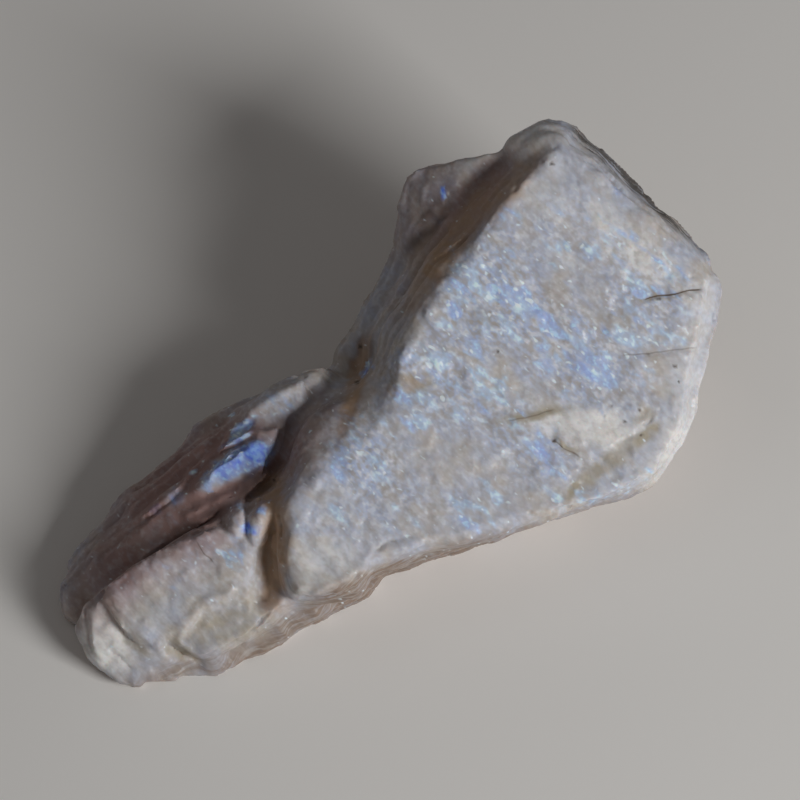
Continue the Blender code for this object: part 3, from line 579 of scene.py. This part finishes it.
def line_distance(places, line):
    """Signed distance from a line, positive on its left, and the way along it to its nearer end."""
    best = np.full(len(places), np.inf)
    signed = np.zeros(len(places))
    travel = np.zeros(len(places))
    travelled = 0.0
    flat = places[:, :2]
    for start, end in zip(line, line[1:]):
        start = np.array(start)
        run = np.array(end) - start
        length = float(np.hypot(*run))
        along = np.clip((flat - start) @ run / length, 0.0, length)
        away = flat - start - run * (along / length)[:, None]
        distance = np.hypot(away[:, 0], away[:, 1])
        side = np.where(run[0] * away[:, 1] - run[1] * away[:, 0] > 0.0, 1.0, -1.0)
        closer = distance < best
        best = np.where(closer, distance, best)
        signed = np.where(closer, side * distance, signed)
        travel = np.where(closer, travelled + along, travel)
        travelled += length
    return signed, np.minimum(travel, travelled - travel)


def zone(places, x, y, half_length, half_width, angle, strength):
    """How strongly each place lies in an oval zone of the face."""
    oval = turned(places - np.array((x, y, 0.0)), math.radians(angle), (half_length, half_width, 1.0))
    return strength * ramp(ZONE_REACH - np.hypot(oval[:, 0], oval[:, 1]))


def inside(places, outline):
    """How far inside an outline of the face each place lies, negative outside."""
    closed = outline + outline[:1]
    distance, _ = line_distance(places, closed)
    crossings = np.zeros(len(places), dtype=int)
    for (x1, y1), (x2, y2) in zip(closed, closed[1:]):
        between = (places[:, 1] > y1) != (places[:, 1] > y2)
        crossing = x1 + (places[:, 1] - y1) * (x2 - x1) / ((y2 - y1) or 1.0)
        crossings += between & (places[:, 0] < crossing)
    return np.abs(distance) * np.where(crossings % 2 == 1, 1.0, -1.0)


def facing_up(normals, start, rise):
    """0 where a normal's part out of the face is below the start, 1 where it is a rise above it."""
    return ramp((normals[:, 2] - start) / rise)


class Skin:
    """The stone's surface while it is worked: its places in the face's frame, and how they join up."""

    def __init__(self, mesh):
        self.mesh = mesh
        count = len(mesh.vertices)
        flat = np.zeros(count * 3)
        mesh.vertices.foreach_get("co", flat)
        self.places = flat.reshape(-1, 3)
        edges = np.zeros(len(mesh.edges) * 2, dtype=np.int32)
        mesh.edges.foreach_get("vertices", edges)
        self.edges = edges.reshape(-1, 2)
        self.neighbours = np.bincount(self.edges.ravel(), minlength=count)

    def averaged(self, values):
        """For each vertex, the mean of its neighbours' values."""
        first, second = self.edges.T
        count = len(self.places)
        sums = [
            np.bincount(first, column[second], count) + np.bincount(second, column[first], count)
            for column in values.T
        ]
        return np.stack(sums, axis=1) / self.neighbours[:, None]

    def smoothed(self, values, passes):
        """Values for each vertex, moved halfway to their neighbours' mean in each pass."""
        for _ in range(passes):
            values = 0.5 * values + 0.5 * self.averaged(values)
        return values

    def soften(self, ovals, passes):
        """Smooths the surface in oval zones, where one part of the stone runs into the next."""
        weight = np.clip(sum(zone(self.places, *oval) for oval in ovals), 0.0, 1.0)[:, None]
        for _ in range(passes):
            self.places += 0.5 * weight * (self.averaged(self.places) - self.places)

    def normals(self):
        """The outward direction at each vertex."""
        self.store()
        flat = np.zeros(len(self.places) * 3)
        self.mesh.vertex_normals.foreach_get("vector", flat)
        return flat.reshape(-1, 3)

    def store(self):
        """Puts the places into the mesh."""
        self.mesh.vertices.foreach_set("co", self.places.ravel())
        self.mesh.update()

    def mark(self, name, values):
        """Stores a value or a place for each vertex, for the material to read."""
        kind, field = ("FLOAT_VECTOR", "vector") if values.ndim == 2 else ("FLOAT", "value")
        attribute = self.mesh.attributes.new(name, kind, "POINT")
        attribute.data.foreach_set(field, values.ravel())


def fine_mesh(node):
    """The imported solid's surface in the face's frame, evenly and finely meshed."""
    shape = bmesh.new()
    shape.from_mesh(node.data)
    bmesh.ops.remove_doubles(shape, verts=shape.verts, dist=MERGE_DISTANCE)
    bmesh.ops.transform(shape, matrix=FACE_TO_ROW.inverted(), verts=shape.verts)
    mesh = bpy.data.meshes.new("fine")
    shape.to_mesh(mesh)
    shape.free()
    rough = bpy.data.objects.new("fine", mesh)
    bpy.context.scene.collection.objects.link(rough)
    grain = rough.modifiers.new("even grain", "REMESH")
    grain.mode = "VOXEL"
    grain.voxel_size = GRAIN
    graph = bpy.context.evaluated_depsgraph_get()
    fine = bpy.data.meshes.new_from_object(rough.evaluated_get(graph))
    bpy.data.objects.remove(rough)
    return fine


def flatten_facets(skin):
    """Takes most of the bumps off the flat facets of the upper side."""
    for share, slopes, lift, outline in FACETS.values():
        upper = facing_up(skin.normals(), *UP_FOR_FACETS)
        weight = upper * ramp(0.5 + inside(skin.places, outline) / FACET_MARGIN)
        x, y, height = skin.places.T
        chosen = weight > FACET_CORE
        if slopes:
            slope_x, slope_y = slopes
            level = np.median((height - slope_x * x - slope_y * y)[chosen])
        else:
            columns = np.stack((x, y, np.ones(len(x))), axis=1)[chosen]
            slope_x, slope_y, level = np.linalg.lstsq(columns, height[chosen], rcond=None)[0]
        skin.places[:, 2] += share * weight * (level + lift + slope_x * x + slope_y * y - height)


def cut_strip(skin):
    """Lets the strip beyond the broad face's upper right edge fall away, with fine ridges along it."""
    beyond, _ = line_distance(skin.places, STRIP_EDGE)
    face = FACE_LEVEL + FACE_SLOPE_X * skin.places[:, 0] + FACE_SLOPE_Y * skin.places[:, 1]
    straying = RIDGE_WANDER * smooth_noise(skin.places / RIDGE_WANDER_LENGTH, SEEDS["ridges"])
    ridges = RIDGE_HEIGHT * np.sin(2.0 * math.pi * beyond / RIDGE_SPACING + straying)
    highest = np.where(beyond > 0.0, face - STRIP_SLOPE * (beyond + ridges), np.inf)
    skin.places[:, 2] = np.minimum(skin.places[:, 2], highest)


def add_features(skin):
    """Ledges, creases and lumps of the upper side, pushed in or out along the face's outward direction."""
    upper = facing_up(skin.normals(), *UP_FOR_FEATURES)
    move = np.zeros(len(skin.places))
    for height, fade, drop, line in LEDGES.values():
        distance, from_end = line_distance(skin.places, line)
        raised = ramp(distance / drop + 0.5) * (1.0 - ramp(distance / fade)) * ramp(from_end / LEDGE_END)
        move += height * raised
    for depth, half_width, line in CREASES.values():
        distance, from_end = line_distance(skin.places, line)
        opening = ramp(CREASE_START + from_end / CREASE_END)
        move -= depth * (1.0 - ramp(np.abs(distance) / half_width)) * opening
    for height, oval in LUMPS.values():
        move += height * np.sqrt(zone(skin.places, *oval, 1.0))
    skin.places[:, 2] += upper * move


def scales(places, angle, seed, length, width, step, tilt):
    """Height of a layer of overlapping scales, each at a level and a tilt of its own."""
    numbers, offset = flakes(turned(places, angle, (length, width, SCALE_THICKNESS * width)), seed)
    lean = numbers[:, 1] * offset[:, 0] + numbers[:, 2] * offset[:, 1]
    return step * numbers[:, 0] + width * tilt * lean


def layers(places, seed, length, thickness, depth):
    """Height of thin broken layers that lie along the face."""
    numbers, offset = flakes(turned(places, 0.0, (length, length, thickness)), seed)
    return depth * (numbers[:, 0] + LAYER_SLANT * offset[:, 2])


def add_cleavage(skin):
    """The broken grain: low flakes on the broad face, scales on the lobe and thin layers on the sides."""
    normals = skin.normals()
    places = skin.places
    on_face = facing_up(normals, *UP_FOR_FLAKES)
    above_line = places[:, 0] * LOBE_ACROSS_X + places[:, 1] * LOBE_ACROSS_Y - LOBE_LINE
    beyond_start = LOBE_START - places[:, 0]
    on_lobe = ramp(above_line / LOBE_LINE_FADE) * ramp(beyond_start / LOBE_START_FADE)
    ragged = places + RAGGEDNESS * wander(places, RAGGED_LENGTH, SEEDS["ragged"])

    low = sum(scales(ragged, STREAK_ANGLE, *settings) for settings in FACE_FLAKES)
    low += RIPPLE_HEIGHT * smooth_noise(turned(places, STREAK_ANGLE, RIPPLE_LENGTHS), SEEDS["ripples"])
    low = skin.smoothed(low[:, None], FLAKE_PASSES)[:, 0]
    sharp = on_face * on_lobe * sum(scales(ragged, LOBE_ANGLE, *settings) for settings in LOBE_SCALES)
    for settings in SIDE_LAYERS:
        sharp += (1.0 - on_face) * layers(places, *settings)
    softer = skin.averaged(sharp[:, None])[:, 0]
    relief = on_face * (1.0 - on_lobe) * low
    relief += SHARP_SHARE * sharp + (1.0 - SHARP_SHARE) * softer

    bulge = np.sum((places - skin.smoothed(places, BULGE_PASSES)) * normals, axis=1)
    chips = np.maximum(layered_noise(places, CHIP_LENGTHS, SEEDS["chips"]), 0.0)
    relief -= CHIP_DEPTH * ramp(bulge / CHIPPED_BULGE) * chips
    skin.places += normals * relief[:, None]


def mark_skin(skin):
    """Marks where the stone gets painted sheen, stains and painted shade, cracks or specks, and where its
    surface is hollow.
    """
    places = skin.places
    normals = skin.normals()
    upper = facing_up(normals, *UP_FOR_ZONES)
    straying = wander(places, WANDER_LENGTH, SEEDS["wander"])
    for name, ovals in ZONES.items():
        strength = sum(zone(places + ZONE_WANDER * straying, *oval) for oval in ovals)
        skin.mark(name, np.clip(strength, 0.0, ZONE_LIMIT) * upper)

    crack = np.zeros(len(places))
    beside_crack = np.zeros(len(places))
    for strength, line in CRACKS:
        distance, from_end = line_distance(places + CRACK_WANDER * straying, line)
        near = np.abs(distance) < CRACK_REACH
        crack[near] = strength * ramp(from_end[near] / CRACK_REACH)
        beside_crack[near] = distance[near]
    skin.mark("crack", crack)
    skin.mark("beside crack", beside_crack)

    speck = np.zeros(len(places))
    for x, y, radius in SPECKS:
        away = np.hypot(places[:, 0] - x, places[:, 1] - y)
        speck = np.maximum(speck, ramp(ZONE_REACH - away / radius) * upper)
    skin.mark("speck", speck)

    skin.mark("place", places)
    # Sides turned away from the broad face, for painted warm shade.
    skin.mark("side", 1.0 - facing_up(normals, *UP_FOR_SHADED_SIDES))
    # How hollow the surface is, for brown stains and painted shade in hollows.
    skin.mark("hollow", np.sum((skin.smoothed(places, HOLLOW_PASSES) - places) * normals, axis=1))
    skin.mark("clouds", layered_noise(places, CLOUD_LENGTHS, SEEDS["clouds"]))
    for name, lengths in STREAKY_LENGTHS.items():
        skin.mark(name, smooth_noise(turned(places, STREAK_ANGLE, lengths), SEEDS[name]))


def remove_loose_patches(shape):
    """Removes the patches of the underside that the base cut has left apart from the stone."""
    highest = max(shape.verts, key=lambda vert: vert.co.z)
    reached = {highest}
    waiting = [highest]
    while waiting:
        vert = waiting.pop()
        for edge in vert.link_edges:
            other = edge.other_vert(vert)
            if other not in reached:
                reached.add(other)
                waiting.append(other)
    loose = [vert for vert in shape.verts if vert not in reached]
    bmesh.ops.delete(shape, geom=loose, context="VERTS")


def finish_mesh(skin):
    """The worked surface in the row's frame, cut flat where the stone rests and kept in the solid's box."""
    skin.store()
    shape = bmesh.new()
    shape.from_mesh(skin.mesh)
    bmesh.ops.transform(shape, matrix=FACE_TO_ROW, verts=shape.verts)
    bmesh.ops.bisect_plane(
        shape,
        geom=shape.verts[:] + shape.edges[:] + shape.faces[:],
        dist=MERGE_DISTANCE,
        plane_co=(0.0, 0.0, BASE_CUT * MM),
        plane_no=(0.0, 0.0, -1.0),
        clear_outer=True,
    )
    remove_loose_patches(shape)
    rim = [edge for edge in shape.edges if edge.is_boundary]
    bmesh.ops.holes_fill(shape, edges=rim)
    bmesh.ops.triangulate(shape, faces=shape.faces)
    bmesh.ops.translate(shape, vec=(0.0, 0.0, -BASE_CUT * MM), verts=shape.verts)
    lowest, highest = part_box(STONE)
    for vert in shape.verts:
        for axis in range(3):
            vert.co[axis] = min(max(vert.co[axis], lowest[axis]), highest[axis])
    mesh = bpy.data.meshes.new("moonstone")
    shape.to_mesh(mesh)
    shape.free()
    mesh.shade_smooth()
    mesh.set_sharp_from_angle(angle=SHARP_ANGLE)
    return mesh


class Nodes:
    """Short ways to lay out a material's nodes. A value is a node's output or a plain number or colour."""

    def __init__(self, name):
        self.material = bpy.data.materials.new(name)
        self.material.use_nodes = True
        self.tree = self.material.node_tree
        self.surface = self.tree.nodes["Principled BSDF"]

    def fill(self, node, values):
        """Gives a node's inputs their values, by their names or numbers."""
        for name, value in values.items():
            if isinstance(value, bpy.types.NodeSocket):
                self.tree.links.new(value, node.inputs[name])
            else:
                node.inputs[name].default_value = value

    def add(self, kind, values, output, **settings):
        """The output of a new node with these settings and values."""
        node = self.tree.nodes.new("ShaderNode" + kind)
        for name, setting in settings.items():
            setattr(node, name, setting)
        self.fill(node, values)
        return node.outputs[output]

    def attribute(self, name, output="Fac"):
        return self.add("Attribute", {}, output, attribute_name=name)

    def math(self, operation, first, second=0.0, clamp=False):
        return self.add("Math", {0: first, 1: second}, 0, operation=operation, use_clamp=clamp)

    def plus(self, first, second, clamp=False):
        return self.math("ADD", first, second, clamp)

    def times(self, first, second, clamp=False):
        return self.math("MULTIPLY", first, second, clamp)

    def rest(self, value):
        """1 less the value, and never below 0."""
        return self.math("SUBTRACT", 1.0, value, clamp=True)

    def span(self, value, low, high, to_low, to_high):
        """The value's way from low to high, smoothly, as to_low to to_high."""
        values = {"Value": value, "From Min": low, "From Max": high, "To Min": to_low, "To Max": to_high}
        return self.add("MapRange", values, "Result", interpolation_type="SMOOTHSTEP")

    def mix(self, factor, first, second):
        """The first colour, turned into the second by a factor."""
        return self.add("Mix", {"Factor": factor, 6: first, 7: second}, 2, data_type="RGBA")

    def noise(self, place, angle, lengths, shift, detail, roughness, distortion):
        """Noise whose grains have these lengths in a frame turned in the face by an angle."""
        turn = {"Vector": place, "Location": (shift,) * 3, "Rotation": (0.0, 0.0, angle), "Scale": lengths}
        values = {
            "Vector": self.add("Mapping", turn, "Vector", vector_type="TEXTURE"),
            "Scale": 1.0,
            "Detail": detail,
            "Roughness": roughness,
            "Distortion": distortion,
        }
        return self.add("TexNoise", values, "Fac")


def opaque(name):
    """A named colour of the stone as a socket takes it."""
    return (*COLOURS[name], 1.0)


class Feldspar(Nodes):
    """The stone's material: layers of colour that cover each other in turn."""

    def __init__(self):
        super().__init__("milky feldspar")
        place = self.attribute("place", "Vector")
        self.noises = {name: self.attribute(name) for name in ("clouds", "rows", "mottle")}
        for name, settings in NOISES.items():
            self.noises[name] = self.noise(place, *settings)
        self.zones = {name: self.attribute(name) for name in ZONES}
        for name, settings in BROKEN_ZONES.items():
            self.zones[name] = self.times(self.zones[name], self.given_by(*settings), clamp=True)
        self.colour = self.mix(self.share("lavender"), opaque("beige"), opaque("lavender"))

    def given_by(self, noise, *span):
        """The share that a noise or pattern gives at each point."""
        return self.span(self.noises[noise], *span)

    def share(self, name):
        """The share of a colour at each point, as the table of shares says."""
        return self.given_by(*SHARES[name])

    def cover(self, share, name):
        """Covers the colour so far, by a share, with a named one."""
        self.colour = self.mix(share, self.colour, opaque(name))

    def add_tints(self):
        """Warm and cool tints, and painted sheen: a blue veil that lies in rows and pale laths between them.
        """
        haze = self.zones["haze"]
        tinted = self.plus(TINTS, self.times(haze, TINTS_IN_HAZE), clamp=True)
        for name in ("warm tint", "cool tint"):
            self.cover(self.times(tinted, self.share(name)), name)
        in_rows = self.times(haze, self.share("veil"))
        in_blue = self.times(self.zones["blue"], VEIL_IN_BLUE)
        self.cover(self.plus(in_rows, in_blue, clamp=True), "veil")
        in_laths = self.times(self.share("lath"), self.share("streaky lath"))
        self.cover(self.times(haze, in_laths), "lath")

    def add_grains(self):
        """Dark, light and creamy grains, most of them where the stone is hazy. The creamy ones are also
        painted light on patches that face the light.
        """
        grainy = self.plus(GRAINS, self.times(self.zones["haze"], GRAINS_IN_HAZE))
        for name in ("dark grain", "light grain", "cream and painted light", "crumb"):
            strength = self.zones["cream and painted light"] if name == "cream and painted light" else grainy
            self.cover(self.times(strength, self.share(name)), name)

    def add_dark_stone(self):
        """Stains, and painted shade: brown stains and painted shade in hollows, painted warm shade on the
        sides, smoky stone with painted shade on the lobe, and painted shade in clefts, on the dark strips and
        in golden-brown valleys.
        """
        # Stains, some of them painted shade.
        self.cover(self.times(self.zones["stain and painted shade"], STAINS_AND_SHADE), "stain and painted shade")
        # Brown stains and painted shade in hollows.
        self.cover(self.span(self.attribute("hollow"), *HOLLOW_SPAN), "hollow")
        # Painted warm shade on the sides, kept off where the stone is creamy.
        side = self.times(self.attribute("side"), self.span(self.zones["cream and painted light"], *CREAM_AND_LIGHT_OFF_SIDES))
        self.cover(self.times(side, SHADED_SIDES), "side")
        # Smoky stone with painted shade, kept off where the stone flashes.
        hazy = self.times(self.zones["haze"], HAZE_OVER_SMOKE_AND_SHADE)
        flashing = self.math("MAXIMUM", self.zones["blue"], hazy)
        self.cover(self.times(self.zones["smoke and painted shade"], self.rest(flashing)), "smoke and painted shade")
        # Painted shade in clefts, on the strips below and at the upper right, and warm golden-brown painted
        # shade.
        for name in ("deep", "under", "edge", "painted amber shade"):
            self.cover(self.zones[name], name)

    def add_flash(self, kind):
        """Painted blue or cyan sheen: more patches of it where it is strong, each of soft and bright grains.
        """
        in_rows = self.times(self.zones["haze"], self.share(kind + " rows"))
        strength = self.plus(self.zones[kind], in_rows)
        lifted = self.plus(self.noises[kind + " patches"], self.times(strength, FLASH_GAIN))
        spread = self.times(self.span(lifted, *FLASH_SPAN), self.span(strength, *FLASH_EDGE))
        for name in ("soft " + kind, "bright " + kind):
            self.cover(self.times(spread, self.share(name)), name)

    def add_azure(self):
        """Painted deep blue sheen on some faces, and painted glints around them."""
        haze, blue, cyan, azure = (self.zones[name] for name in ("haze", "blue", "cyan", "azure"))
        azure_colour = self.mix(self.share("bright azure"), opaque("deep azure"), opaque("bright azure"))
        self.colour = self.mix(azure, self.colour, azure_colour)
        # Painted glints where the stone shines, kept off the azure faces.
        shining = self.plus(cyan, self.plus(blue, self.times(haze, PAINTED_GLINTS_IN_HAZE)), clamp=True)
        dashes = self.plus(self.noises["dashes"], self.times(shining, PAINTED_GLINT_GAIN))
        self.cover(self.times(self.span(dashes, *PAINTED_GLINT_SPAN), self.rest(azure)), "painted glint")

    def add_marks(self):
        """Thin cracks and dark specks."""
        beside = self.math("ABSOLUTE", self.attribute("beside crack"))
        crack = self.times(self.attribute("crack"), self.span(beside, *CRACK_EDGE, 1.0, 0.0), clamp=True)
        self.cover(crack, "crack")
        self.cover(self.attribute("speck"), "speck")

    def add_surface(self):
        """The colour's milky depth, a gloss that varies from grain to grain, and a fine bump."""
        streaks = self.times(self.noises["streaks"], BUMP_OF_STREAKS)
        crumb = self.times(self.noises["crumb"], BUMP_OF_CRUMB)
        bump = {
            "Height": self.plus(self.plus(streaks, crumb), self.noises["blobs"]),
            "Strength": BUMP_STRENGTH,
            "Distance": BUMP_HEIGHT * MM,
        }
        self.fill(self.surface, {
            "Base Color": self.colour,
            "Roughness": self.share("roughness"),
            "Normal": self.add("Bump", bump, "Normal"),
            "IOR": FELDSPAR_IOR,
            "Subsurface Weight": MILKINESS,
            "Subsurface Radius": MILKY_DEPTH,
            "Subsurface Scale": MM,
        })


def milky_feldspar():
    """The stone's finished material."""
    feldspar = Feldspar()
    feldspar.add_tints()
    feldspar.add_grains()
    feldspar.add_dark_stone()
    feldspar.add_flash("blue")
    feldspar.add_flash("cyan")
    feldspar.add_azure()
    feldspar.add_marks()
    feldspar.add_surface()
    return feldspar.material


def linked(name, data):
    """A new object with this data, in the scene."""
    obj = bpy.data.objects.new(name, data)
    bpy.context.scene.collection.objects.link(obj)
    return obj


def add_stone(node):
    """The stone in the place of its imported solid."""
    skin = Skin(fine_mesh(node))
    skin.places = skin.smoothed(skin.places, FIRST_PASSES)
    skin.soften(SOFT_ZONES, SOFT_PASSES)
    flatten_facets(skin)
    cut_strip(skin)
    add_features(skin)
    skin.soften(EASED_ZONES, EASED_PASSES)
    add_cleavage(skin)
    skin.soften(WORN_ZONES, WORN_PASSES)
    mark_skin(skin)
    mesh = finish_mesh(skin)
    mesh.materials.append(milky_feldspar())
    stone = linked("moonstone", mesh)
    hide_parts(STONE)
    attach(stone, "root")


def add_floor():
    """A plain pale floor, wide enough to fill the picture."""
    nodes = Nodes("pale floor")
    nodes.fill(nodes.surface, {"Base Color": FLOOR_COLOUR, "Roughness": FLOOR_ROUGHNESS})
    mesh = bpy.data.meshes.new("floor")
    corners = [(x * FLOOR_REACH, y * FLOOR_REACH, 0.0) for x, y in ((-1, -1), (1, -1), (1, 1), (-1, 1))]
    mesh.from_pydata(corners, [], [(0, 1, 2, 3)])
    mesh.materials.append(nodes.material)
    floor = linked("floor", mesh)


def add_light(name, direction, size, power, colour):
    """A soft square light that shines on the stone from a direction of the face's frame."""
    lamp = bpy.data.lights.new(name, "AREA")
    lamp.size = size
    lamp.energy = power
    lamp.color = colour
    light = linked(name, lamp)
    towards = (FACE_TO_ROW.to_3x3() @ Vector(direction)).normalized()
    light.location = STONE_MIDDLE + towards * LIGHT_DISTANCE
    light.rotation_euler = (-towards).to_track_quat("-Z", "Y").to_euler()


def add_world():
    """A faint, even light from all around."""
    world = bpy.data.worlds.new("studio")
    world.use_nodes = True
    background = world.node_tree.nodes["Background"]
    background.inputs["Color"].default_value = WORLD_COLOUR
    background.inputs["Strength"].default_value = WORLD_STRENGTH
    bpy.context.scene.world = world


def add_camera():
    """The camera, which looks straight down on the origin of the face's frame."""
    data = bpy.data.cameras.new("camera")
    data.sensor_width = CAMERA_SENSOR
    data.lens = CAMERA_LENS
    data.clip_start = CAMERA_CLIP_START
    data.clip_end = CAMERA_CLIP_END
    camera = linked("camera", data)
    pose = FACE_TO_ROW @ Matrix.Translation((0.0, 0.0, CAMERA_HEIGHT))
    place, turn, _ = pose.decompose()
    camera.matrix_world = Matrix.LocRotScale(place, turn, (1.0, 1.0, 1.0))
    bpy.context.scene.camera = camera


add_stone(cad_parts[STONE])
add_floor()
for light_name, light_settings in LIGHTS.items():
    add_light(light_name, *light_settings)
add_world()
add_camera()
bpy.context.scene.view_settings.view_transform = "Standard"
